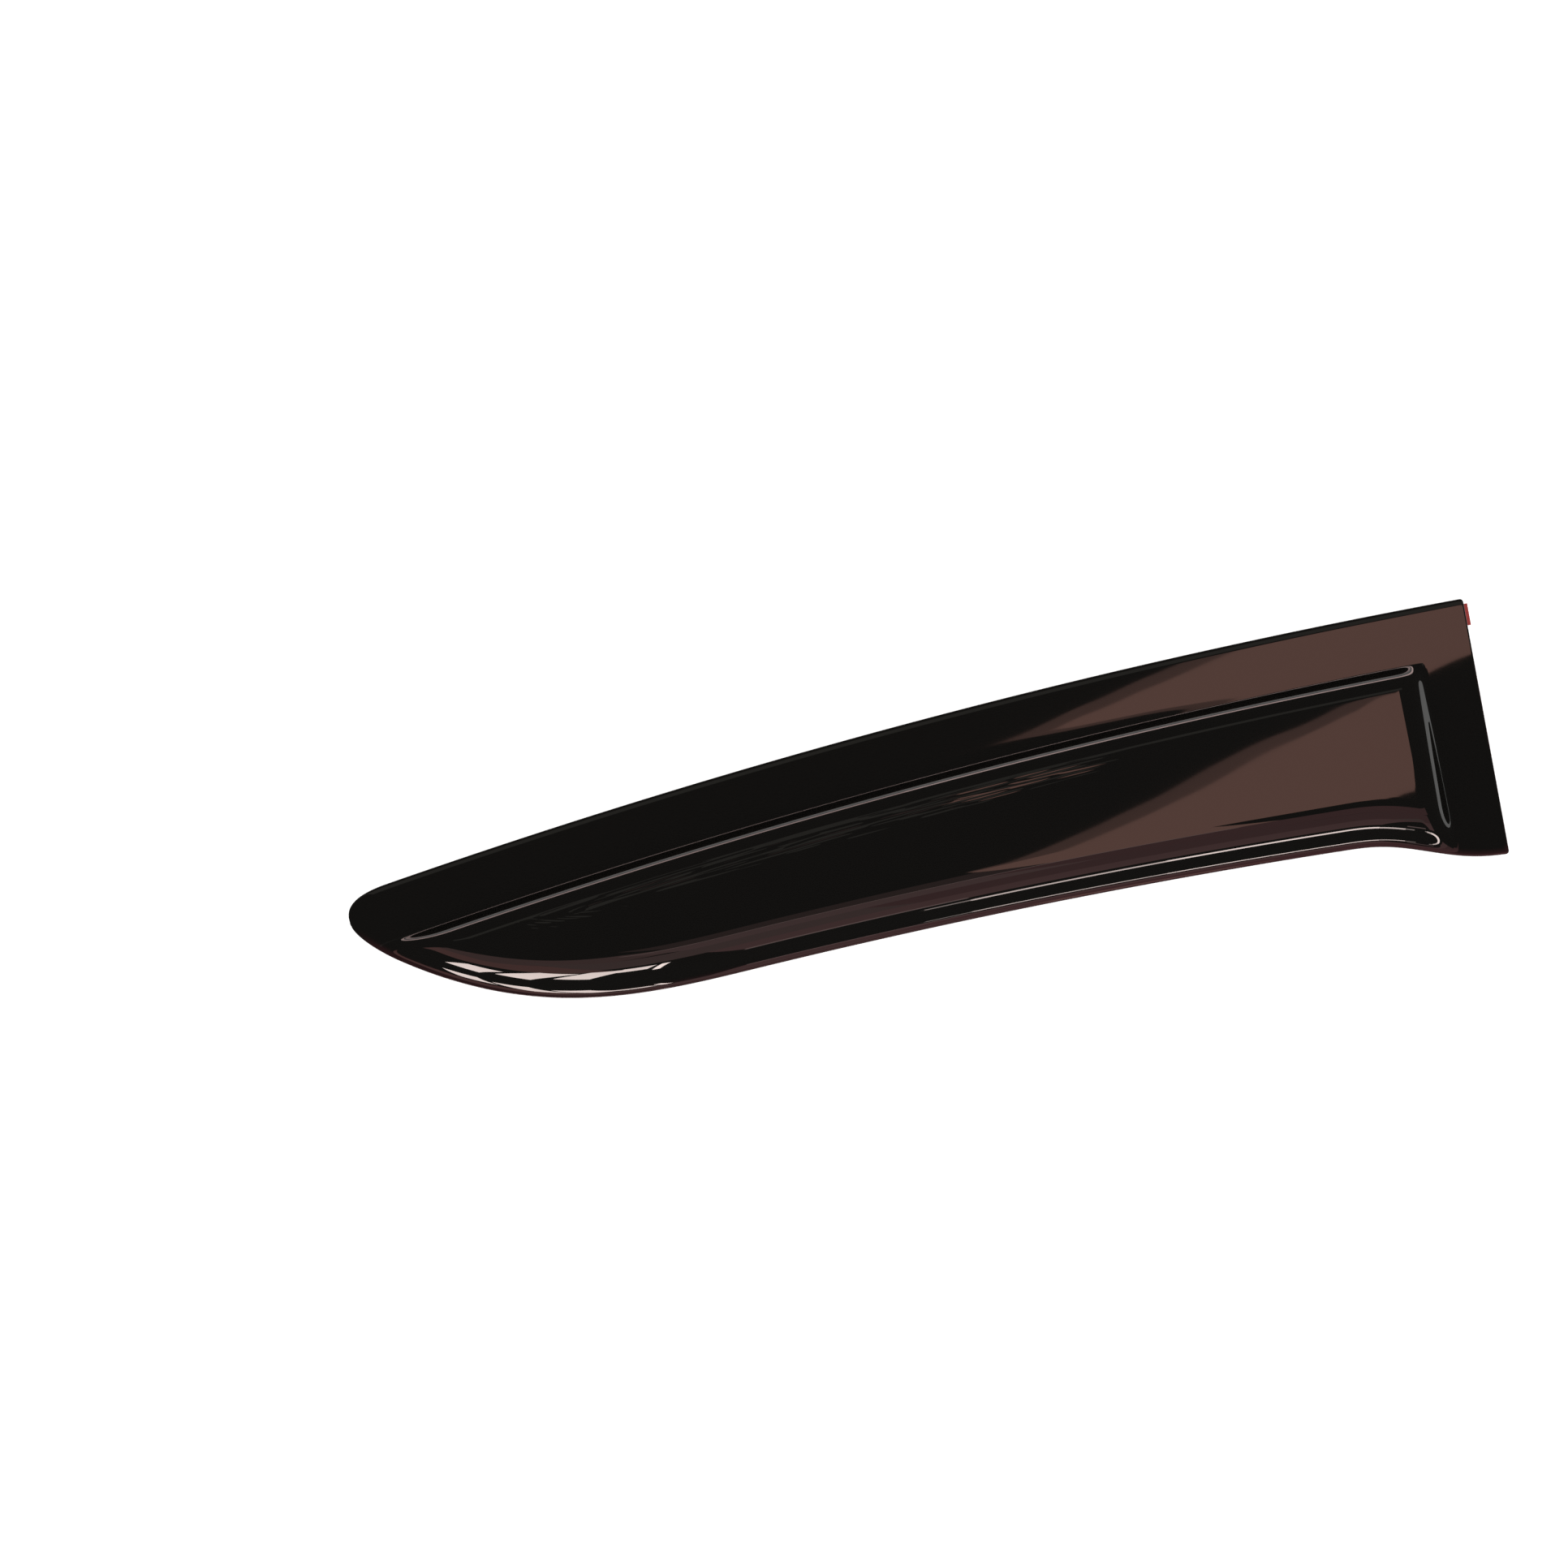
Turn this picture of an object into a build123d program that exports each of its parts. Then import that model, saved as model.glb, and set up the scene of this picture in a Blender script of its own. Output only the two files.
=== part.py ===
from build123d import *
import math
import os

# Window rain deflector: one formed sheet with its bonding tape, lying on its back.
# Millimetres. A place on it is given by a station s, measured along the curved top edge
# from the nose end, and a depth d, measured square to that edge down the sheet.
# +X runs from the nose end to the square end, +Y to the top edge, +Z out of the window.

# Plan
length = 530.0          # nose tip to square end, along the top edge
edge_radius = 3275.0    # the top edge is one arc that follows the door frame
belly_width = 80.4      # width that the belly swells to
growth = 0.049          # further width gained per millimetre of length
belly_length = 178.0    # station where the belly runs out into the long lower edge
belly_depth = 61.3      # width still missing at the nose tip
belly_power = 3.07      # how early the belly fills out
end_drop = 12.0         # the end flange hangs this far below the rim
drop_length = 75.0      # length of the sweep down to the end flange
end_corner = 1.5        # corner radius at the square end

# Nose, a curve from the top edge round the tip into the belly
nose_start = 21.5       # station where the top edge begins to turn
nose_tip = 12.0         # depth of the tip
nose_join = 16.0        # station where the nose meets the belly
nose_flat = 18.9        # length of the curve's pull along the top edge
nose_turn = 6.0         # its pull along the tip, both ways
nose_lead = 10.0        # its pull along the belly
full_form = 55.0        # station where the shield has come up to its full height

# Section
sheet = 2.5             # wall of the formed sheet
flange = 25.5           # flat width along the top edge
crease = 11.0           # width of the bend from flange to shield
rise = 7.5              # height of the shield above the flange
lean = 0.025            # the shield stands further out towards the rim
rim_foot = 1.2          # flat foot along the lower edge
rim_wall = 21.0         # width of the bend from foot to shield
end_flange = 23.0       # flat width along the square end
end_wall = 16.0         # width of the bend from end flange to shield
crease_power = 0.5      # below one: tight where the bend leaves the flange, full at the shield
rim_power = 0.6         # the same for the bends at the foot and at the end flange

# Bonding tape
tape_inset = 2.5        # from the sheet's edges
tape_width = 10.0
tape_thick = 1.1
tape_start = 12.0       # first station of the long strip
strip_gap = 2.0         # between the long strip and the end strip
liner_thick = 0.15      # release film on the tape's free face
liner_tail = 2.0        # film standing past the square end, to peel it by

# Loft
bend_pieces = 7         # curves that make up the section of one bend
tighten = 1.8           # above one: these curves are shorter next to the flat
form_start = 8.0        # station where the flange's line leaves the outline
form_settle = 32.0      # length from there in which the curves draw together on the bends
nose_room = 4.0         # width that the bends keep before the foot where the nose runs out
nose_blend = 6.0        # width over which they turn from the flange's line to follow the foot
step = 0.02             # spacing of the points that slopes are taken from
margin = 6.0            # the lofted sheet overshoots the outline by this much

tape_line = tape_inset + tape_width / 2
back = liner_thick + tape_thick


def place(s, d, z=0.0):
    """The point at station s and depth d; the tape's middle is the origin."""
    turn = (s - length / 2) / edge_radius
    radius = edge_radius - d
    return Vector(radius * math.sin(turn), radius * math.cos(turn) - edge_radius + tape_line, z)


def ease(t):
    """Climbs from 0 to 1 with no slope and no curvature at either end."""
    t = min(max(t, 0.0), 1.0)
    return t**3 * (10 - 15 * t + 6 * t**2)


def bend(t, power):
    """The profile of a formed bend, from the flat at 0 to the shield at 1."""
    return ease(max(t, 0.0) ** power)


def lower_edge(s):
    """Depth of the lower edge: a slow taper, less the belly, plus the sweep at the end."""
    belly = belly_depth * max(0.0, 1 - s / belly_length) ** belly_power
    return belly_width + growth * s - belly + end_drop * ease((s - length + drop_length) / drop_length)


def lower_slope(s):
    """Depth gained by the lower edge per millimetre of length."""
    return lower_edge(s + 0.5) - lower_edge(s - 0.5)


def shield(s, d):
    """Height of the outer face above the flange."""
    from_rim = (lower_edge(s) - d) / math.hypot(1, lower_slope(s))
    crease_part = bend((d - flange) / crease, crease_power)
    rim_part = bend((from_rim - rim_foot) / rim_wall, rim_power)
    end_part = bend((length - end_flange - s) / end_wall, rim_power)
    return (rise + lean * (d - flange)) * crease_part * rim_part * end_part


def gentler(before, here, after):
    """Slope at a point from its neighbours; at the end of a flat, that of the flat."""
    return min(here - before, after - here, key=abs) / step


def skin(s, d, inside):
    """A point of the sheet, a distance inside its outer face and square to it."""
    here = shield(s, d)
    tilt_s = gentler(shield(s - step, d), here, shield(s + step, d))
    tilt_d = gentler(shield(s, d - step), here, shield(s, d + step))
    drop = inside / math.sqrt(1 + tilt_s**2 + tilt_d**2)
    return place(s + tilt_s * drop, d + tilt_d * drop, back + sheet + here - drop)


def curve(s, d0, d1, inside):
    """Piece of a section between two depths, leaving and arriving along the skin."""
    ends = [skin(s, d0, inside), skin(s, d1, inside)]
    ways = [skin(s, d + step, inside) - skin(s, d - step, inside) for d in (d0, d1)]
    return Edge.make_spline(ends, tangents=ways)


def divide(s):
    """Depths that part a section into curves: evenly at the nose, further on along its bends."""
    slant = math.hypot(1, lower_slope(s))
    foot = lower_edge(s) - rim_foot * slant
    short = foot - nose_room
    near = max(0.0, 1 - abs(flange - short) / nose_blend)
    start = min(flange, short) - nose_blend * near**2 / 4
    squeeze = min(1.0, (foot - start) / (crease + rim_wall * slant + rim_foot))
    steps = [(i / bend_pieces) ** tighten for i in range(bend_pieces + 1)]
    bends = [start + crease * squeeze * m for m in steps]
    bends += [foot - rim_wall * slant * squeeze * m for m in reversed(steps)]
    even = [start + (foot - start) * i / (len(bends) - 1) for i in range(len(bends))]
    settled = ease((s - form_start) / form_settle)
    return [a + (b - a) * settled for a, b in zip(even, bends)]


def section(s):
    """Closed section at one station: flange, crease bend, shield, rim bend and foot."""
    depths = divide(s)
    low = lower_edge(s) + margin
    edges = []
    for inside in (0.0, sheet):
        edges.append(Edge.make_line(skin(s, -margin, inside), skin(s, depths[0], inside)))
        edges += [curve(s, d0, d1, inside) for d0, d1 in zip(depths, depths[1:])]
        edges.append(Edge.make_line(skin(s, depths[-1], inside), skin(s, low, inside)))
    edges.append(Edge.make_line(skin(s, -margin, 0.0), skin(s, -margin, sheet)))
    edges.append(Edge.make_line(skin(s, low, 0.0), skin(s, low, sheet)))
    return Wire(edges)


def spread(s0, s1, cuts):
    """Evenly spaced stations, the last one left to the next stretch."""
    return [s0 + (s1 - s0) * i / cuts for i in range(cuts)]


def crowd(s0, s1, cuts):
    """Stations from the first one to the second, closest together at the first."""
    return [s0 + (s1 - s0) * (i / cuts) ** 1.4 for i in range(cuts + 1)]


def along_edge(s0, s1, d):
    """Arc at one depth between two stations."""
    return ThreePointArc(place(s0, d), place((s0 + s1) / 2, d), place(s1, d))


def strip(s0, s1, d0, d1, z, thick):
    """A flat strip of tape or film between two stations and two depths."""
    first = Line(place(s0, d0), place(s0, d1))
    last = Line(place(s1, d0), place(s1, d1))
    outline = Wire([along_edge(s0, s1, d0), last, along_edge(s0, s1, d1), first])
    return Pos(0, 0, z) * extrude(make_face(outline), thick, dir=(0, 0, 1))


# Formed sheet: sections lofted along the length, then trimmed to the outline
wall_end = length - end_flange
wall_start = wall_end - end_wall
sweep = length - drop_length
stations = spread(-margin, nose_join, 6) + spread(nose_join, full_form, 13)
stations += spread(full_form, belly_length, 8) + spread(belly_length, sweep - end_wall, 6)
stations += spread(sweep - end_wall, wall_start, 8)
stations += sorted(crowd(wall_end, wall_start, 16)) + crowd(wall_end, length + margin, 8)[1:]
blank = Solid.make_loft([section(s) for s in stations])

run_in = math.atan(lower_slope(nose_join))
join = lower_edge(nose_join)
lead = (nose_join - nose_lead * math.cos(run_in), join - nose_lead * math.sin(run_in))
tip_top = Bezier(place(nose_start, 0), place(nose_start - nose_flat, 0),
                 place(0, nose_tip - nose_turn), place(0, nose_tip))
tip_low = Bezier(place(0, nose_tip), place(0, nose_tip + nose_turn),
                 place(*lead), place(nose_join, join))
low_stations = [nose_join + (length - nose_join) * i / 40 for i in range(41)]
low = Spline([place(s, lower_edge(s)) for s in low_stations])
square_end = Line(place(length, lower_edge(length)), place(length, 0))
plan = make_face(Wire([along_edge(nose_start, length, 0), tip_top, tip_low, low, square_end]))
plan = fillet(plan.vertices().sort_by(Axis.X)[-2:], end_corner)
deflector = blank & extrude(plan, back + 3 * (sheet + rise), dir=(0, 0, 1))

# Bonding tape: one strip along the top edge, one down the end flange, each under a film
strip_low = tape_inset + tape_width
strip_end = length - tape_inset
short_start = strip_end - tape_width
short_top = strip_low + strip_gap
short_low = lower_edge(short_start) - tape_inset
top_tape = strip(tape_start, strip_end, tape_inset, strip_low, liner_thick, tape_thick)
end_tape = strip(short_start, strip_end, short_top, short_low, liner_thick, tape_thick)
top_liner = strip(tape_start, length + liner_tail, tape_inset, strip_low, 0.0, liner_thick)
end_liner = strip(short_start, strip_end, short_top, short_low, 0.0, liner_thick)

os.makedirs("parts", exist_ok=True)
export_step(deflector, "parts/deflector.step")
export_step(top_tape, "parts/top_tape.step")
export_step(end_tape, "parts/end_tape.step")
export_step(top_liner, "parts/top_liner.step")
export_step(end_liner, "parts/end_liner.step")
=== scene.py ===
# %% [markdown]
# # A window rain deflector
# The part is one sheet of smoke acrylic, formed while warm and trimmed to an outline, that is stuck on
# above a car's side window. Under it lie two strips of foam tape, each still wearing its red release film.
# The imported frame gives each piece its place. Its surfaces are made again here, smooth and close-meshed,
# because a gloss black sheet shows every facet in its reflections.

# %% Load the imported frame
import math
import bpy
import bmesh
import numpy as np
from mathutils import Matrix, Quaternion, Vector


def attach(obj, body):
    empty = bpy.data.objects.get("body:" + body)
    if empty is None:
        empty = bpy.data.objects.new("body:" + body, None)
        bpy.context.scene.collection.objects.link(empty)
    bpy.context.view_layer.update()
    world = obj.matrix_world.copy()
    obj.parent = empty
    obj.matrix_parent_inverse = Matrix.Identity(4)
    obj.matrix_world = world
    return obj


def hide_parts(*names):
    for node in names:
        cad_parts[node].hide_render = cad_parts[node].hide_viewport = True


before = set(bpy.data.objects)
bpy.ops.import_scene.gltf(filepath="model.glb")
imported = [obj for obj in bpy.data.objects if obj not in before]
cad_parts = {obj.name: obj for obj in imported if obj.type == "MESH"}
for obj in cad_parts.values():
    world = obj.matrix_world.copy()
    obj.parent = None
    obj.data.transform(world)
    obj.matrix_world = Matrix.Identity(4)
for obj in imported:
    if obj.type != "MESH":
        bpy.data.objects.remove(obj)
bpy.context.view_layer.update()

# %% [markdown]
# ## Two coordinates on the sheet
# A flat layout is easier to think in than the finished part. A station runs along the top edge from the
# nose, and a depth runs square to it. Bending the layout along one arc gives the plan of the real part.
# Lengths are in millimetres until the last moment, since that is how such a part is drawn.

# %% The layout and its arc
MM = 0.001
LENGTH = 530.0         # nose tip to square end, along the top edge
EDGE_RADIUS = 3275.0   # the arc of the door frame
SHEET = 2.5            # wall of the sheet
TAPE_INSET = 2.5       # from the sheet's edges to its bonding tape
TAPE_WIDTH = 10.0
FOAM = 1.1             # thickness of the tape
FILM = 0.15            # thickness of the release film on it
TAPE_LINE = TAPE_INSET + TAPE_WIDTH / 2   # depth of the long tape's middle, which is the origin
BACK = FILM + FOAM     # height of the sheet's flat back above the floor


def place(station, depth, height):
    """Station over radius is an angle on the arc; depth steps from the arc towards its centre."""
    turn = (station - LENGTH / 2) / EDGE_RADIUS
    radius = EDGE_RADIUS - depth
    x = radius * np.sin(turn)
    y = radius * np.cos(turn) - EDGE_RADIUS + TAPE_LINE
    return np.stack(np.broadcast_arrays(x, y, height), axis=-1) * MM


print("mid edge", place(LENGTH / 2, 0.0, 0.0), "end", place(LENGTH, 0.0, 0.0))

# %% [markdown]
# ## The outline
# The top edge is the arc itself. The lower edge is a slow taper, less a belly that fills out behind the
# nose, plus a short sweep at the square end. The nose is two cubic curves that meet at the tip. All of it is
# drawn as two lines of points, upper and lower, both running from the tip to the square end.

# %% The lower edge
BELLY_WIDTH = 80.4     # width that the belly swells to
GROWTH = 0.049         # further width gained per millimetre of length
BELLY_LENGTH = 178.0   # station where the belly runs out into the long lower edge
BELLY_DEPTH = 61.3     # width still missing at the nose tip
BELLY_POWER = 3.07     # how early the belly fills out
END_DROP = 12.0        # the end flange hangs this far below the rim
DROP_LENGTH = 75.0     # length of the sweep down to the end flange
SWEEP = LENGTH - DROP_LENGTH


def ease(t):
    """Climbs from 0 to 1 with no slope and no curvature at either end: 10 t^3 - 15 t^4 + 6 t^5."""
    t = np.clip(t, 0.0, 1.0)
    return t**3 * (10 - 15 * t + 6 * t**2)


def lower_edge(s):
    """Depth of the lower edge: taper, minus belly, plus end sweep."""
    belly = BELLY_DEPTH * np.maximum(0.0, 1 - s / BELLY_LENGTH) ** BELLY_POWER
    return BELLY_WIDTH + GROWTH * s - belly + END_DROP * ease((s - SWEEP) / DROP_LENGTH)


def lower_slope(s):
    """Depth gained per millimetre of length, by central difference."""
    return lower_edge(s + 0.5) - lower_edge(s - 0.5)


print("width at mid length", round(float(lower_edge(LENGTH / 2)), 2), "mm")

# %% The upper and lower lines
NOSE_START = 21.5      # station where the top edge begins to turn
NOSE_TIP = 12.0        # depth of the tip
NOSE_JOIN = 16.0       # station where the nose meets the belly
NOSE_FLAT = 18.9       # length of the curve's pull along the top edge
NOSE_TURN = 6.0        # its pull along the tip, both ways
NOSE_LEAD = 10.0       # its pull along the belly
CORNER = 1.5           # corner radius at the square end
RUN_GAP = 0.5          # from the nose's last point to the first one of the straight top run
NOSE_POINTS, CORNER_POINTS = 120, 40
TOP_POINTS, LOW_POINTS = 500, 700


def cubic(a, b, c, d):
    """Bezier curve: each point is the four controls weighted by the binomial terms of t and 1 - t."""
    t = np.linspace(0.0, 1.0, NOSE_POINTS)[:, None]
    a, b, c, d = (np.array(p, float) for p in (a, b, c, d))
    return a * (1 - t) ** 3 + 3 * b * t * (1 - t) ** 2 + 3 * c * t**2 * (1 - t) + d * t**3


def corner_arc(centre, start, end):
    """Arc: centre plus radius times cosine and sine of an angle that runs from start to end."""
    angle = np.radians(np.linspace(start, end, CORNER_POINTS))
    return np.array(centre) + CORNER * np.stack([np.cos(angle), np.sin(angle)], axis=-1)


tip = (0.0, NOSE_TIP)
join = (NOSE_JOIN, float(lower_edge(NOSE_JOIN)))
run_in = math.atan(lower_slope(NOSE_JOIN))
lead = (join[0] - NOSE_LEAD * math.cos(run_in), join[1] - NOSE_LEAD * math.sin(run_in))
turn_in = LENGTH - CORNER
end_slope = lower_slope(turn_in)
low_centre = (turn_in, float(lower_edge(turn_in)) - CORNER * math.hypot(1, end_slope))
top_run = np.linspace(NOSE_START + RUN_GAP, turn_in, TOP_POINTS)
low_run = np.linspace(NOSE_JOIN, turn_in, LOW_POINTS)

# Each run leaves out the points that its neighbours have or come close to.
upper = np.concatenate([
    cubic(tip, (0.0, NOSE_TIP - NOSE_TURN), (NOSE_START - NOSE_FLAT, 0.0), (NOSE_START, 0.0)),
    np.stack([top_run, np.zeros(TOP_POINTS)], axis=-1)[:-1],
    corner_arc((turn_in, CORNER), -90, 0)])
lower = np.concatenate([
    cubic(tip, (0.0, NOSE_TIP + NOSE_TURN), lead, join),
    np.stack([low_run, lower_edge(low_run)], axis=-1)[1:-2],
    corner_arc(low_centre, 90 + math.degrees(math.atan(end_slope)), 0)])
print("upper line", len(upper), "points, lower line", len(lower), "points")

# %% [markdown]
# ## The formed height
# The sheet is flat along the top edge, climbs a tight bend to the shield, and comes down through a fuller
# bend to the lower edge. A wall at the square end brings the shield down again. Each bend is one S-curve of
# the distance into it, and the three are multiplied, so that at the nose they melt into each other by
# themselves. A power below one pulls the S-curve towards the flat: the mould's inside corner is sharp, and
# the sheet drapes over its outside corner in a full round.

# %% Height of the outer face
FLANGE = 25.5          # flat width along the top edge
CREASE = 11.0          # width of the bend from flange to shield
RISE = 7.5             # height of the shield above the flange
LEAN = 0.025           # the shield stands further out towards the rim
RIM_FOOT = 1.2         # flat foot along the lower edge
RIM_WALL = 21.0        # width of the bend from foot to shield
END_FLANGE = 23.0      # flat width along the square end
END_WALL = 16.0        # width of the bend from end flange to shield
CREASE_POWER = 0.5
RIM_POWER = 0.6        # for the bends at the foot and at the end flange
STEP = 0.02            # spacing of the points that slopes are taken from


def bend(t, power):
    """The S-curve of a power of t: tight where the bend leaves the flat, full at the shield."""
    return ease(np.maximum(t, 0.0) ** power)


def from_lower_edge(s, d):
    """Distance to the lower edge: the depth still to go, over the length of the edge's slope vector."""
    return (lower_edge(s) - d) / np.hypot(1, lower_slope(s))


def shield(s, d):
    """Height above the flange: a leaning plane times the crease, the rim and the end wall."""
    crease_part = bend((d - FLANGE) / CREASE, CREASE_POWER)
    rim_part = bend((from_lower_edge(s, d) - RIM_FOOT) / RIM_WALL, RIM_POWER)
    end_part = bend((LENGTH - END_FLANGE - s) / END_WALL, RIM_POWER)
    return (RISE + LEAN * (d - FLANGE)) * crease_part * rim_part * end_part


def gentler(before, here, after):
    """Of the slopes to the two neighbours the smaller, so that a flat stays flat right up to its bend."""
    down, up = here - before, after - here
    return np.where(np.abs(down) < np.abs(up), down, up) / STEP


def skin(s, d, inside):
    """A point a distance inside the outer face: step back along the normal, found from the two slopes."""
    here = shield(s, d)
    tilt_s = gentler(shield(s - STEP, d), here, shield(s + STEP, d))
    tilt_d = gentler(shield(s, d - STEP), here, shield(s, d + STEP))
    drop = inside / np.sqrt(1 + tilt_s**2 + tilt_d**2)
    return place(s + tilt_s * drop, d + tilt_d * drop, BACK + SHEET + here - drop)


middle = BACK + SHEET + shield(LENGTH / 2, lower_edge(LENGTH / 2) / 2)
print("the shield's middle stands", round(float(middle), 2), "mm above the floor")

# %% [markdown]
# ## A grid that is close where the sheet bends
# An even grid would waste points on the flats and starve the bends, where the light lines run. So points
# are spread by a density: its running total is read backwards at equal shares. Stations crowd at the nose,
# at the end wall and where the outline turns square; rows crowd in the crease and at the rim.


# %% Tools for spreading points
def inset(line, amount, side):
    """Moves a line inwards: each point minus the unit normal, which is the turned tangent."""
    along = np.gradient(line, axis=0)
    along /= np.linalg.norm(along, axis=1, keepdims=True)
    outward = side * np.stack([along[:, 1], -along[:, 0]], axis=-1)
    return line - amount * outward


def running_total(density, at):
    """Area under the density up to each point, by trapezoids along the last axis."""
    pieces = (density[..., 1:] + density[..., :-1]) / 2 * np.diff(at, axis=-1)
    return np.concatenate([np.zeros_like(pieces[..., :1]), np.cumsum(pieces, axis=-1)], axis=-1)


def window(x, start, end, soft):
    """One between start and end, easing to zero over a soft margin."""
    return ease((x - start) / soft) * ease((end - x) / soft)


print("window across an even run", window(np.linspace(0.0, 1.0, 5), 0.0, 1.0, 0.5))

# %% Stations
ARRIS = 0.45           # radius on the cut edge
STATIONS = 320
STATION_SAMPLES = 8001
EVERYWHERE, AT_BENDS, AT_POLES = 0.35, 0.9, 0.8   # parts of the density
NOSE_STRETCH = (-30.0, 85.0, 25.0)                # start, end and soft margin
END_STRETCH = (475.0, 560.0, 12.0)
POLE_GAP = 0.02                                   # keeps the density finite at both ends

first, last = ARRIS, LENGTH - ARRIS
share = 0.5 - 0.5 * np.cos(np.linspace(0.0, math.pi, STATION_SAMPLES))
fine = first + (last - first) * share
closeness = EVERYWHERE + AT_BENDS * window(fine, *NOSE_STRETCH) + AT_BENDS * window(fine, *END_STRETCH)
closeness += AT_POLES / np.sqrt(fine - first + POLE_GAP) + AT_POLES / np.sqrt(last - fine + POLE_GAP)
total = running_total(closeness, fine)
stations = np.interp(np.linspace(0.0, total[-1], STATIONS), total, fine)
top = np.interp(stations, *inset(upper, ARRIS, 1).T)
bottom = np.interp(stations, *inset(lower, ARRIS, -1).T)
bottom[0] = top[0]
print("closest stations", round(float(np.diff(stations).min()), 3), "mm")

# %% Rows
ROWS = 122
ROW_SAMPLES = 1201
ON_FLATS, IN_CREASE, AT_FOLD, AT_RIM = 0.3, 1.8, 6.0, 1.5   # parts of the density
CREASE_MARGIN, RIM_MARGIN, SOFT = 2.0, 1.0, 2.5
FOLD_BEFORE, FOLD_AFTER = 0.6, 2.4                # the fold is the tight start of the crease

fine_d = top[:, None] + (bottom - top)[:, None] * np.linspace(0.0, 1.0, ROW_SAMPLES)
from_edge = from_lower_edge(stations[:, None], fine_d)
packing = ON_FLATS + IN_CREASE * window(fine_d, FLANGE - CREASE_MARGIN, FLANGE + CREASE + CREASE_MARGIN, SOFT)
packing += AT_FOLD * window(fine_d, FLANGE - FOLD_BEFORE, FLANGE + FOLD_AFTER, FOLD_BEFORE)
packing += AT_RIM * window(from_edge, -RIM_MARGIN, RIM_FOOT + RIM_WALL + RIM_MARGIN, SOFT)
totals = running_total(packing, fine_d)
even = np.linspace(0.0, 1.0, ROWS)
depths = np.array([np.interp(even * t[-1], t, d) for t, d in zip(totals, fine_d)])
depths[0] = top[0]
grid_s = np.repeat(stations[:, None], ROWS, axis=1)
print("grid", grid_s.shape)

# %% [markdown]
# ## Closing the sheet
# The outer and inner skins share the grid, one wall apart. Between their borders runs a band that rounds
# the cut edge: a quarter circle, a short wall, a quarter circle. Tumbled or flamed edges of acrylic look
# like that, and the rounding catches a thin line of light that a sharp edge would lack.

# %% Mesh helpers
MERGE = 1e-7           # metres; points closer than this are one


def grid_faces(rows, columns, start, wrap=False):
    """Quads of a grid whose point (i, j) has index start + i * columns + j.
    With wrap the last row is joined to the first."""
    i = np.arange(rows if wrap else rows - 1)[:, None]
    j = np.arange(columns - 1)[None, :]
    k = (i + 1) % rows
    return np.stack([i * columns + j, i * columns + j + 1, k * columns + j + 1, k * columns + j],
                    axis=-1).reshape(-1, 4) + start


def finished_piece(name, points, faces, layout):
    """A smooth closed mesh object at the origin, with its layout kept on its points.
    Coincident points are merged, so poles and seams close."""
    mesh = bpy.data.meshes.new(name)
    mesh.from_pydata(points, [], faces.tolist())
    layer = mesh.attributes.new("layout", "FLOAT_VECTOR", "POINT")
    layer.data.foreach_set("vector", layout.astype(np.float32).ravel())
    work = bmesh.new()
    work.from_mesh(mesh)
    bmesh.ops.remove_doubles(work, verts=work.verts, dist=MERGE)
    volume = work.calc_volume(signed=True)
    open_edges = sum(not e.is_manifold for e in work.edges)
    work.to_mesh(mesh)
    work.free()
    mesh.polygons.foreach_set("use_smooth", np.ones(len(mesh.polygons), bool))
    piece = bpy.data.objects.new(name, mesh)
    bpy.context.scene.collection.objects.link(piece)
    triangles = sum(len(p.vertices) - 2 for p in mesh.polygons)
    print(f"{name}: {triangles} triangles, {volume * 1e6:.3f} cm3, {open_edges} open edges")
    return piece


print("faces of a grid of three by three points", len(grid_faces(3, 3, 0)))

# %% The skins and the rounded band
ROUND_POINTS = 6       # on each quarter circle of the edge

outer = skin(grid_s, depths, 0.0)
inner = skin(grid_s, depths, SHEET)
border_i = np.concatenate([np.arange(STATIONS), np.full(ROWS - 1, STATIONS - 1),
                           np.arange(STATIONS - 2, 0, -1)])
border_j = np.concatenate([np.zeros(STATIONS, int), np.arange(1, ROWS), np.full(STATIONS - 2, ROWS - 1)])
border = outer[border_i, border_j]
tangent = np.roll(border, -1, axis=0) - np.roll(border, 1, axis=0)
outward = np.stack([-tangent[:, 1], tangent[:, 0], 0 * tangent[:, 0]], axis=-1)
outward /= np.linalg.norm(outward, axis=1, keepdims=True)
arc = np.radians(np.linspace(0.0, 90.0, ROUND_POINTS))
step_out = ARRIS * MM * np.concatenate([np.sin(arc), np.cos(arc)])
fall = np.concatenate([ARRIS * (1 - np.cos(arc)), SHEET - ARRIS * (1 - np.sin(arc))]) * MM
band = border[:, None] + outward[:, None] * step_out[:, None] - np.array([0, 0, 1.0]) * fall[:, None]
band[:, 0], band[:, -1] = border, inner[border_i, border_j]
print("band of", band.shape[0], "by", band.shape[1], "points")

# %% The layout on the points
# Station, depth and the distance to the outline, found row by row to spare memory.
outline = np.concatenate([upper, lower])
flat = np.stack([grid_s, depths], axis=-1)
edge_gap = np.stack([np.sqrt(((row[:, None] - outline[None]) ** 2).sum(-1)).min(1) for row in flat])
layout = np.concatenate([flat, edge_gap[..., None]], axis=-1)
band_layout = np.repeat(layout[border_i, border_j][:, None], len(fall), axis=1)
band_layout[..., 2] = 0.0
print("furthest point from the edge", round(float(edge_gap.max()), 1), "mm")

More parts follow.
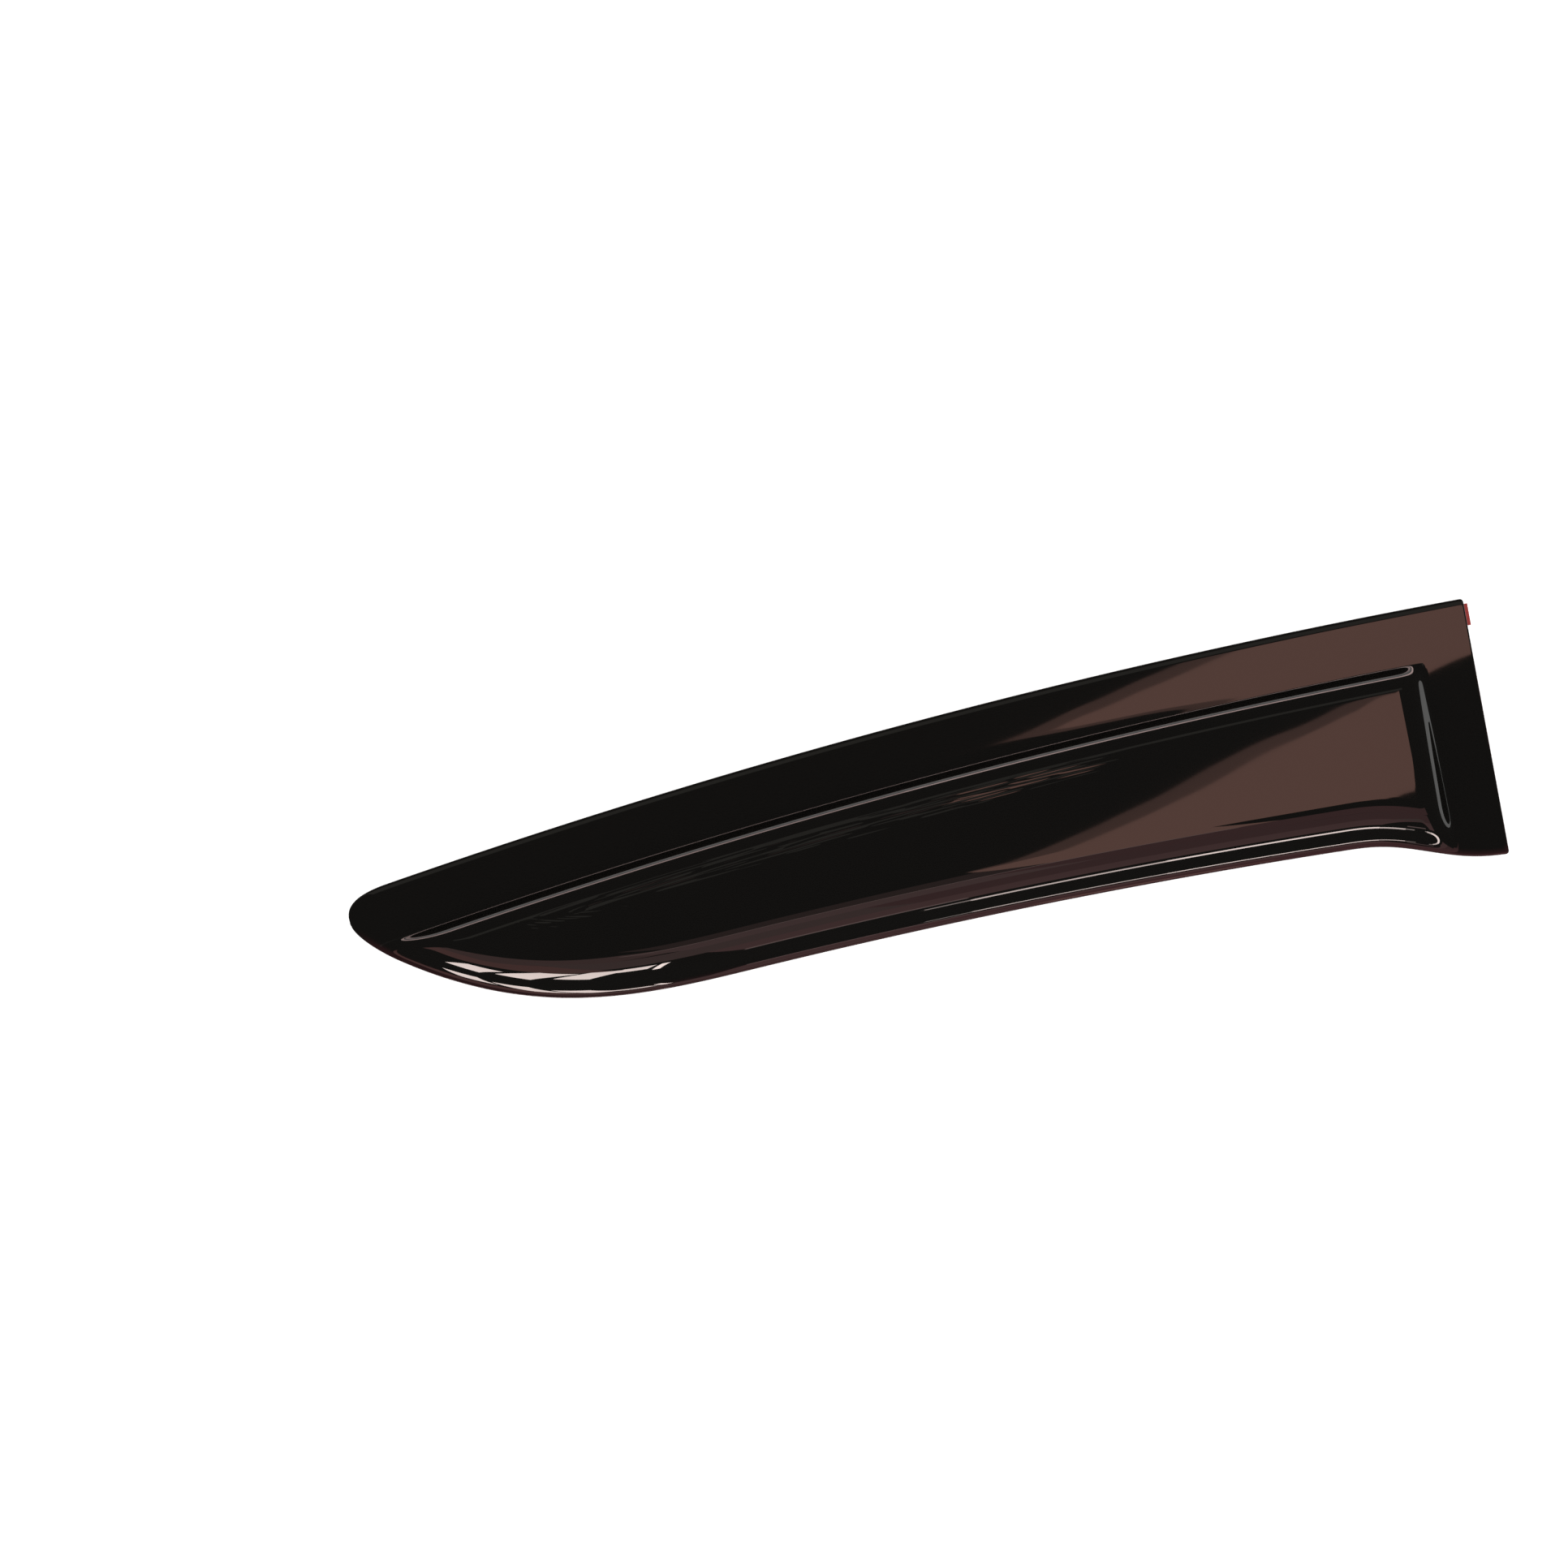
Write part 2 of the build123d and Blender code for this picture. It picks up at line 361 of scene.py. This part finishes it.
# %% The formed sheet
skin_count = STATIONS * ROWS
sheet_points = np.concatenate([part.reshape(-1, 3) for part in (outer, inner, band)])
sheet_layout = np.concatenate([part.reshape(-1, 3) for part in (layout, layout, band_layout)])
sheet_faces = np.concatenate([
    grid_faces(STATIONS, ROWS, 0),
    grid_faces(STATIONS, ROWS, skin_count)[:, ::-1],
    grid_faces(len(border), len(fall), 2 * skin_count, wrap=True)[:, ::-1]])
deflector = finished_piece("formed_sheet", sheet_points, sheet_faces, sheet_layout)
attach(deflector, "root")
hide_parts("deflector")

# %% [markdown]
# ## Tape and film
# A strip of tape is a flat profile carried along a path. The profile here is a squared-off oval, so the
# foam's long edges are softly rounded as a slitting knife leaves them, and the film's stay crisp. The path
# is the arc for the long strip and a straight line for the short one. Rings shrunk to a point close both
# ends.

# %% A strip
PROFILE_POINTS = 40


def squared(wave, power):
    """A wave with its sign kept and its size raised to a power; below one this squares an oval."""
    return np.sign(wave) * np.abs(wave) ** power


def strip(name, s_range, d_range, z_range, power, along_station, count):
    """Profile: centre plus half size times a squared cosine and sine.
    Path: even steps from end to end, with a shrunken ring at each end to close it."""
    angle = np.linspace(0.0, 2 * math.pi, PROFILE_POINTS, endpoint=False)
    across, up = squared(np.cos(angle), power), squared(np.sin(angle), power)
    path_range, cross_range = (s_range, d_range) if along_station else (d_range, s_range)
    path = np.linspace(*path_range, count)
    path = np.concatenate([path[:1], path, path[-1:]])
    size = np.concatenate([[0.0], np.ones(count), [0.0]])
    cross = np.mean(cross_range) + size[:, None] * across * (cross_range[1] - cross_range[0]) / 2
    height = np.mean(z_range) + size[:, None] * up * (z_range[1] - z_range[0]) / 2
    run = np.repeat(path[:, None], PROFILE_POINTS, axis=1)
    s, d = (run, cross) if along_station else (cross, run)
    ring = np.concatenate([np.arange(PROFILE_POINTS), [0]])
    points = place(s, d, height)[:, ring]
    faces = grid_faces(len(path), len(ring), 0)
    return finished_piece(name, points.reshape(-1, 3), faces if along_station else faces[:, ::-1],
                          np.stack([s, d, height], axis=-1)[:, ring].reshape(-1, 3))


print("a strip's profile has", PROFILE_POINTS, "points")

# %% The four strips
TAPE_START = 12.0      # first station of the long strip
STRIP_GAP = 2.0        # between the long strip and the end strip
FILM_TAIL = 2.0        # film standing past the square end, to peel it by
KNIFE_CUT, CRISP = 0.16, 0.05
LONG_STEPS, SHORT_STEPS = 180, 60

tape_end = LENGTH - TAPE_INSET
short_start = tape_end - TAPE_WIDTH
long_depths = (TAPE_INSET, TAPE_INSET + TAPE_WIDTH)
short_depths = (long_depths[1] + STRIP_GAP, float(lower_edge(short_start)) - TAPE_INSET)
long_tape = strip("long_foam_tape", (TAPE_START, tape_end), long_depths,
                  (FILM, BACK), KNIFE_CUT, True, LONG_STEPS)
short_tape = strip("short_foam_tape", (short_start, tape_end), short_depths,
                   (FILM, BACK), KNIFE_CUT, False, SHORT_STEPS)
long_film = strip("long_release_film", (TAPE_START, LENGTH + FILM_TAIL), long_depths,
                  (0.0, FILM), CRISP, True, LONG_STEPS)
short_film = strip("short_release_film", (short_start, tape_end), short_depths,
                   (0.0, FILM), CRISP, False, SHORT_STEPS)
for piece, node_name, slot in ((long_tape, "top_tape", "foam_tape"),
                               (short_tape, "end_tape", "foam_tape"),
                               (long_film, "top_liner", "release_film"),
                               (short_film, "end_liner", "release_film")):
    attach(piece, "root")
    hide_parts(node_name)

# %% [markdown]
# ## Materials
# Three small helpers serve every finish. One turns a hex colour, as read on a screen, into the linear values
# that a renderer adds and multiplies. One adds a node, sets its properties and sockets, and makes its links.
# One gives pieces a new, empty material.


# %% Colour and node helpers
def linear(hex_colour):
    """sRGB to linear: values under 0.04045 are divided by 12.92, the rest follow a 2.4 power curve."""
    value = np.array([int(hex_colour[i:i + 2], 16) for i in (1, 3, 5)]) / 255
    value = np.where(value <= 0.04045, value / 12.92, ((value + 0.055) / 1.055) ** 2.4)
    return (*value.tolist(), 1.0)


def add(tree, kind, sockets=(), **settings):
    """Adds a node. Each socket gets a value, or a link when it is given another node's output."""
    made = tree.nodes.new(kind)
    for key, value in settings.items():
        setattr(made, key, value)
    for key, value in dict(sockets).items():
        if isinstance(value, bpy.types.NodeSocket):
            tree.links.new(value, made.inputs[key])
        else:
            made.inputs[key].default_value = value
    return made


def new_material(name, *pieces):
    """An empty node material, given to the pieces; returns its tree and its output node."""
    material = bpy.data.materials.new(name)
    material.use_nodes = True
    material.node_tree.nodes.clear()
    for piece in pieces:
        piece.data.materials.append(material)
    return material.node_tree, material.node_tree.nodes.new("ShaderNodeOutputMaterial")


print("mid grey in linear light", [round(v, 4) for v in linear("#808080")[:3]])

# %% [markdown]
# ### Smoke acrylic
# Cast acrylic has an index of 1.49 and a surface as smooth as its mould, so it mirrors the room faintly and
# sharply. The dye is so strong that the face is nearly black. Light that enters at the lower cut edge comes
# out red-brown within a few millimetres; at the top edge the dark tape behind the sheet swallows it. This
# glow is painted light: the base colour turns red-brown near the lower edge. The layout kept on the sheet's
# points tells the material how far it is from the edge.

# %% Dye, painted cut-edge light and gloss
# The second colour is painted light: the red-brown of light coming out through the lower cut edge.
SMOKE, PAINTED_CUT_EDGE_LIGHT = "#090807", "#231012"
CUT_EDGE_LIGHT_REACH = 4.0                      # millimetres from the cut edge
CUT_EDGE_LIGHT_DEPTHS = (12.0, 30.0)            # round the nose the painted cut-edge light comes up between these depths
ACRYLIC_IOR = 1.49
GLOSS, HAZE = 0.012, 0.024            # roughness where the surface is clearest and where it is dullest
HAZE_PER_METRE = 60.0                 # blots of about 17 mm

tree, out = new_material("formed smoke acrylic", deflector)
layout_read = add(tree, "ShaderNodeAttribute", attribute_name="layout")
split = add(tree, "ShaderNodeSeparateXYZ", {"Vector": layout_read.outputs["Vector"]})
station, depth, from_cut = (split.outputs[axis] for axis in "XYZ")


def mask(tree, *ramps):
    """Product of S-curves, each 0 at its first value of a coordinate and 1 at its second."""
    product = None
    for coordinate, nil, full in ramps:
        ramp = add(tree, "ShaderNodeMapRange", {"Value": coordinate, "From Min": nil, "From Max": full},
                   interpolation_type="SMOOTHERSTEP").outputs["Result"]
        if product is not None:
            ramp = add(tree, "ShaderNodeMath", {0: product, 1: ramp}, operation="MULTIPLY").outputs["Value"]
        product = ramp
    return product


# Painted light: the base colour turns red-brown within a few millimetres of the lower cut edge.
cut_edge_light_mask = mask(tree, (from_cut, CUT_EDGE_LIGHT_REACH, 0.0), (depth, *CUT_EDGE_LIGHT_DEPTHS))
smoke_and_cut_edge_light = add(tree, "ShaderNodeMix", {"Factor": cut_edge_light_mask, "A": linear(SMOKE), "B": linear(PAINTED_CUT_EDGE_LIGHT)},
           data_type="RGBA")
where = add(tree, "ShaderNodeTexCoord")
haze = add(tree, "ShaderNodeTexNoise", {"Vector": where.outputs["Object"], "Scale": HAZE_PER_METRE,
                                        "Detail": 4.0})
rough = add(tree, "ShaderNodeMapRange", {"Value": haze.outputs["Fac"], "To Min": GLOSS, "To Max": HAZE})
print("dye and gloss:", len(tree.nodes), "nodes")

# %% [markdown]
# ### Marks of forming
# A formed sheet is never quite flat, and gloss tells on it. It has slow waves all over. Next to the crease
# the flange rolls up, the shield sags towards the rim, and just under the crease short ripples show where the
# sheet was drawn in. All are less than a tenth of a millimetre, far too shallow to show in the outline, so
# they are bumps, chained one on the other. Each is a height times a mask on the layout.

# %% Bumps on the acrylic
WAVE_HEIGHT, ROLL_HEIGHT, SAG_HEIGHT, RIPPLE_HEIGHT = 0.02, 0.07, 0.05, 0.07   # millimetres
WAVES_PER_METRE = 22.0                # about 45 mm long
RIPPLE_LENGTH, RIPPLE_WIDTH = 25.0, 4.0

# Depths or stations where a mark is nil and where it is full; one that dies away has the larger value first.
ROLL_DEPTHS, ROLL_BEGIN, ROLL_END = (19.0, 31.0), (10.0, 40.0), (500.0, 470.0)
SAG_DEPTHS, SAG_BEGIN, SAG_END = (46.0, 92.0), (180.0, 230.0), (490.0, 440.0)
RIPPLE_TOP, RIPPLE_LOW = (33.0, 38.0), (47.0, 38.0)
RIPPLE_BEGIN, RIPPLE_END = (60.0, 105.0), (400.0, 280.0)

waves = add(tree, "ShaderNodeTexNoise", {"Vector": where.outputs["Object"], "Scale": WAVES_PER_METRE,
                                         "Detail": 1.0})
roll = mask(tree, (depth, *ROLL_DEPTHS), (station, *ROLL_BEGIN), (station, *ROLL_END))
sag = mask(tree, (depth, *SAG_DEPTHS), (station, *SAG_BEGIN), (station, *SAG_END))
rippled = mask(tree, (depth, *RIPPLE_TOP), (depth, *RIPPLE_LOW),
               (station, *RIPPLE_BEGIN), (station, *RIPPLE_END))
stretch = add(tree, "ShaderNodeMapping", {"Vector": layout_read.outputs["Vector"],
                                          "Scale": (1 / RIPPLE_LENGTH, 1 / RIPPLE_WIDTH, 1.0)})
streaks = add(tree, "ShaderNodeTexNoise", {"Vector": stretch.outputs["Vector"], "Scale": 1.0, "Detail": 0.0})
level = add(tree, "ShaderNodeMapRange", {"Value": streaks.outputs["Fac"], "To Min": -0.5, "To Max": 0.5})
ripples = add(tree, "ShaderNodeMath", {0: level.outputs["Result"], 1: rippled}, operation="MULTIPLY")
normal = {}
for height, size in ((waves.outputs["Fac"], WAVE_HEIGHT), (roll, ROLL_HEIGHT), (sag, SAG_HEIGHT),
                     (ripples.outputs["Value"], RIPPLE_HEIGHT)):
    bump = add(tree, "ShaderNodeBump", {"Height": height, "Strength": 1.0, "Distance": size * MM, **normal})
    normal = {"Normal": bump.outputs["Normal"]}
acrylic = add(tree, "ShaderNodeBsdfPrincipled", {
    "Base Color": smoke_and_cut_edge_light.outputs["Result"], "Roughness": rough.outputs["Result"], "IOR": ACRYLIC_IOR, **normal})
tree.links.new(acrylic.outputs["BSDF"], out.inputs["Surface"])
print("formed smoke acrylic:", len(tree.nodes), "nodes")

# %% [markdown]
# ### Foam tape
# The tape is closed-cell acrylic foam, charcoal and dull, with cells of about 0.2 mm. They are drawn three
# times as coarse, or they would not show. A cell pattern gives the pits, and the same pattern makes the
# colour darker towards each pit's bottom, which is painted shade.

# %% Foam
CELLS_PER_METRE = 1600.0              # about 0.6 mm each
PIT_DEPTH = 0.2                       # millimetres
FOAM_ROUGHNESS, FOAM_IOR = 0.85, 1.48

tree, out = new_material("charcoal acrylic foam", long_tape, short_tape)
where = add(tree, "ShaderNodeTexCoord")
cells = add(tree, "ShaderNodeTexVoronoi", {"Vector": where.outputs["Object"], "Scale": CELLS_PER_METRE})
# Painted shade: the colour is darker towards the bottom of each pit.
shade = add(tree, "ShaderNodeMix", {"Factor": cells.outputs["Distance"], "A": linear("#1c1c1e"),
                                    "B": linear("#3a3a3c")}, data_type="RGBA")
pits = add(tree, "ShaderNodeBump", {"Height": cells.outputs["Distance"], "Strength": 0.6,
                                    "Distance": PIT_DEPTH * MM})
foam = add(tree, "ShaderNodeBsdfPrincipled", {
    "Base Color": shade.outputs["Result"], "Roughness": FOAM_ROUGHNESS, "IOR": FOAM_IOR,
    "Normal": pits.outputs["Normal"]})
tree.links.new(foam.outputs["BSDF"], out.inputs["Surface"])
print("charcoal acrylic foam:", len(tree.nodes), "nodes")

# %% [markdown]
# ### Release film
# The film is red polyethylene with a satin face. Drawing it out in the making leaves fine lines along it, so
# the noise is stretched along the station and close across it.

# %% Film
LINE_LENGTH = 50.0
LINES_PER_MM = 1.4
LINE_HEIGHT = 0.1                     # millimetres
FILM_ROUGHNESS, FILM_IOR = 0.33, 1.51

tree, out = new_material("red polyethylene film", long_film, short_film)
layout_read = add(tree, "ShaderNodeAttribute", attribute_name="layout")
stretch = add(tree, "ShaderNodeMapping", {"Vector": layout_read.outputs["Vector"],
                                          "Scale": (1 / LINE_LENGTH, LINES_PER_MM, 1.0)})
lines = add(tree, "ShaderNodeTexNoise", {"Vector": stretch.outputs["Vector"], "Scale": 1.0, "Detail": 3.0})
red = add(tree, "ShaderNodeMix", {"Factor": lines.outputs["Fac"], "A": linear("#8f2b28"),
                                  "B": linear("#ab3f3a")}, data_type="RGBA")
ridges = add(tree, "ShaderNodeBump", {"Height": lines.outputs["Fac"], "Strength": 0.3,
                                      "Distance": LINE_HEIGHT * MM})
film = add(tree, "ShaderNodeBsdfPrincipled", {
    "Base Color": red.outputs["Result"], "Roughness": FILM_ROUGHNESS, "IOR": FILM_IOR,
    "Normal": ridges.outputs["Normal"]})
tree.links.new(film.outputs["BSDF"], out.inputs["Surface"])
print("red polyethylene film:", len(tree.nodes), "nodes")

# %% [markdown]
# ## Floor and daylight
# White paper under an even white sky shows the outline best. The paper also glows a little, as on a light
# table, which lifts the shadow round the part. A gloss black sheet would turn grey under such a sky, so the
# sky is white for the eye and for matt surfaces, and a dim room for reflections.

# %% Floor
FLOOR_RADIUS = 12.0                   # metres
FLOOR_GAP = 0.0001                    # below the film, so that the two faces do not fight
PAPER_GLOW = 0.45

bpy.ops.mesh.primitive_circle_add(vertices=96, radius=FLOOR_RADIUS, fill_type="NGON",
                                  location=(0, 0, -FLOOR_GAP))
floor = bpy.context.object
floor.name = "paper_floor"
tree, out = new_material("white paper", floor)
paper = add(tree, "ShaderNodeBsdfDiffuse", {"Color": linear("#fdfcfa")})
glow = add(tree, "ShaderNodeEmission", {"Color": linear("#ffffff"), "Strength": PAPER_GLOW})
lit = add(tree, "ShaderNodeAddShader", {0: paper.outputs["BSDF"], 1: glow.outputs["Emission"]})
tree.links.new(lit.outputs["Shader"], out.inputs["Surface"])
print("paper floor of", FLOOR_RADIUS, "m radius")

# %% Sky
SKY_STRENGTH = 1.15

world = bpy.data.worlds.new("studio")
bpy.context.scene.world = world
world.use_nodes = True
tree = world.node_tree
tree.nodes.clear()
path = add(tree, "ShaderNodeLightPath")
white = add(tree, "ShaderNodeBackground", {"Color": linear("#ffffff"), "Strength": SKY_STRENGTH})
room = add(tree, "ShaderNodeBackground", {"Color": linear("#504e4c"), "Strength": 1.0})
sky = add(tree, "ShaderNodeMixShader", {"Fac": path.outputs["Is Glossy Ray"], 1: white.outputs["Background"],
                                        2: room.outputs["Background"]})
add(tree, "ShaderNodeOutputWorld", {"Surface": sky.outputs["Shader"]})
bpy.context.scene.view_settings.view_transform = "Standard"
print("sky:", len(tree.nodes), "nodes")

# %% [markdown]
# ## Reflected panels
# What makes black gloss readable is what it mirrors. Each panel below is an area light that only reflections
# see. A panel's radiance is its power over pi times its area, so the power follows from the brightness that
# the sheet should show: acrylic returns about 4 percent of what falls on it square on.


# %% A panel
def panel(name, centre, aim, size, radiance, turn):
    """A rectangular light at centre that faces aim, turned in its own plane.
    Power is pi times area times radiance."""
    light = bpy.data.lights.new(name, "AREA")
    light.shape = "RECTANGLE"
    light.size, light.size_y = size
    light.color = np.array(radiance) / max(radiance)
    light.energy = math.pi * size[0] * size[1] * max(radiance)
    lamp = bpy.data.objects.new(name, light)
    bpy.context.scene.collection.objects.link(lamp)
    lamp.location = centre
    lamp.rotation_mode = "QUATERNION"
    facing = (Vector(aim) - Vector(centre)).to_track_quat("-Z", "Y")
    lamp.rotation_quaternion = facing @ Quaternion((0.0, 0.0, 1.0), turn)
    lamp.visible_camera = False
    lamp.visible_diffuse = False


square_on = ((ACRYLIC_IOR - 1) / (ACRYLIC_IOR + 1)) ** 2
print("acrylic returns", round(100 * square_on, 2), "percent square on")

# %% [markdown]
# ### Overhead cards
# The nearly flat faces mirror what hangs right above them. A brown card with a darker margin gives the brown
# patch, whose slanting boundary is the card's own edge. Dim cards towards the near side show in the rim,
# which leans that way, and a faint one behind shows in the ripples.

# %% Cards on the ceiling
CEILING = 1.64                        # metres above the floor
CARD_SLANT, LEFT_SLANT = 9, 40        # degrees
BROWN = (2.0, 1.04, 0.84)
EDGE, LEFT, MIDDLE = (0.177, 0.0004), (-0.25, -0.29), (0.0, 0.0)


def ceiling(name, start, slant, along, off, radiance):
    """A level panel overhead. Two ranges give it, along and off a line that leaves its start at a slant."""
    run = Vector((math.cos(math.radians(slant)), math.sin(math.radians(slant)), 0.0))
    away = Vector((run.y, -run.x, 0.0))
    centre = Vector((*start, CEILING)) + run * sum(along) / 2 + away * sum(off) / 2
    size = (along[1] - along[0], off[1] - off[0])
    panel(name, centre, centre - Vector((0.0, 0.0, 1.0)), size, radiance, math.radians(slant))


for card in (
        ("panel_margin", EDGE, CARD_SLANT, (-0.12, 0.34), (0.0065, 0.0145), (0.9, 0.48, 0.40)),
        ("brown_panel", EDGE, CARD_SLANT, (-0.12, 0.055), (0.0145, 0.30), BROWN),
        ("brown_corner", EDGE, CARD_SLANT, (0.055, 0.34), (0.0145, 0.09), BROWN),
        ("brown_shade", EDGE, CARD_SLANT, (-0.42, -0.12), (0.05, 0.30), (0.31, 0.18, 0.17)),
        ("edge_glow", EDGE, CARD_SLANT, (-0.50, 0.02), (0.30, 0.325), (2.0, 1.35, 1.28)),
        ("near_left", EDGE, CARD_SLANT, (-0.50, -0.18), (0.33, 0.75), (0.95, 0.55, 0.54)),
        ("near_right", EDGE, CARD_SLANT, (-0.18, 0.45), (0.30, 0.75), (0.68, 0.30, 0.31)),
        ("mid_left", MIDDLE, 0, (-0.60, -0.05), (0.75, 1.75), (0.75, 0.46, 0.44)),
        ("mid_right", MIDDLE, 0, (-0.05, 0.55), (0.75, 1.75), (0.66, 0.30, 0.31)),
        ("far_right", MIDDLE, 0, (-0.225, 0.55), (1.75, 3.4), (0.95, 0.48, 0.48)),
        ("left_near", LEFT, LEFT_SLANT, (-1.3, 0.0), (0.0, 0.30), (0.75, 0.42, 0.40)),
        ("left_far", MIDDLE, 0, (-1.8, -0.60), (1.0, 2.2), (1.1, 0.50, 0.46)),
        ("back_card", MIDDLE, 0, (-0.5, 0.8), (-0.20, -0.058), (0.25, 0.24, 0.21))):
    ceiling(*card)

# %% [markdown]
# ### Upright panes
# The rim is steep, so it looks sideways. A row of leaning window panes makes the bright flakes along the
# belly, and a long low window makes the fine line that follows the rim to the square end. Two strips on the
# far side make the line along the crease.

# %% Panes on the near and far sides
NEAR_SIDE, FAR_SIDE = -1.0, 1.2       # metres from the part
DAY = np.array((1.0, 0.84, 0.79))     # colour of the daylight
PANE, GLINT, LINE, LINE_START = 17 * DAY, 22 * DAY, 11 * DAY, 4 * DAY

# Name, metres across, side, metres up, size, radiance, and the degrees by which the top tips to the right.
for name, across, beside, up, size, radiance, lean in (
        ("left_pane_1", -0.83, NEAR_SIDE, 0.44, (0.16, 0.21), PANE, 23),
        ("left_pane_2", -0.597, NEAR_SIDE, 0.515, (0.145, 0.40), PANE, 22),
        ("left_pane_3", -0.416, NEAR_SIDE, 0.54, (0.12, 0.38), PANE, 17),
        ("left_pane_4", -0.30, NEAR_SIDE, 0.65, (0.075, 0.19), PANE, 5),
        ("left_glint", -0.244, NEAR_SIDE, 0.60, (0.016, 0.30), GLINT, 3),
        ("right_window", 0.04, NEAR_SIDE, 0.315, (0.10, 0.05), LINE, 0),
        ("right_window_end", 0.845, NEAR_SIDE, 0.32, (1.51, 0.055), PANE, 0),
        ("window_start", -0.0225, NEAR_SIDE, 0.32, (0.025, 0.035), LINE_START, 0),
        ("window_fade", -0.07, NEAR_SIDE, 0.455, (0.12, 0.05), (1.7, 1.2, 1.15), 0),
        ("far_strip", -0.78, FAR_SIDE, 0.125, (1.6, 0.15), (4.4, 3.25, 3.1), 0),
        ("far_strip_right", 0.82, FAR_SIDE, 0.125, (1.6, 0.15), (5.8, 4.3, 4.1), 0)):
    panel(name, (across, beside, up), (across, 0.0, up), size, radiance, -math.radians(lean))

# %% [markdown]
# ## Camera
# The photograph looks straight down with a long lens, and the part lies turned by fifteen degrees, so the
# camera is rolled by as much. Its lens follows from its height and the width of floor that the picture
# takes in.

# %% Camera
TURN = math.radians(15.05)
HEIGHT = 2.5                          # metres above the flange
AIM = (-0.0561, -0.0046)              # point of the floor in the middle of the picture
PHOTO_PIXELS = 1932
PIXEL = 0.37                          # millimetres of floor in a pixel
SENSOR = 36.0

lens = bpy.data.cameras.new("overhead")
lens.sensor_width = SENSOR
lens.lens = SENSOR * HEIGHT / (PHOTO_PIXELS * PIXEL * MM)
camera = bpy.data.objects.new("overhead", lens)
bpy.context.scene.collection.objects.link(camera)
camera.location = (*AIM, HEIGHT + (BACK + SHEET) * MM)
camera.rotation_euler = (0.0, 0.0, -TURN)
bpy.context.scene.camera = camera
print("lens", round(lens.lens, 1), "mm")
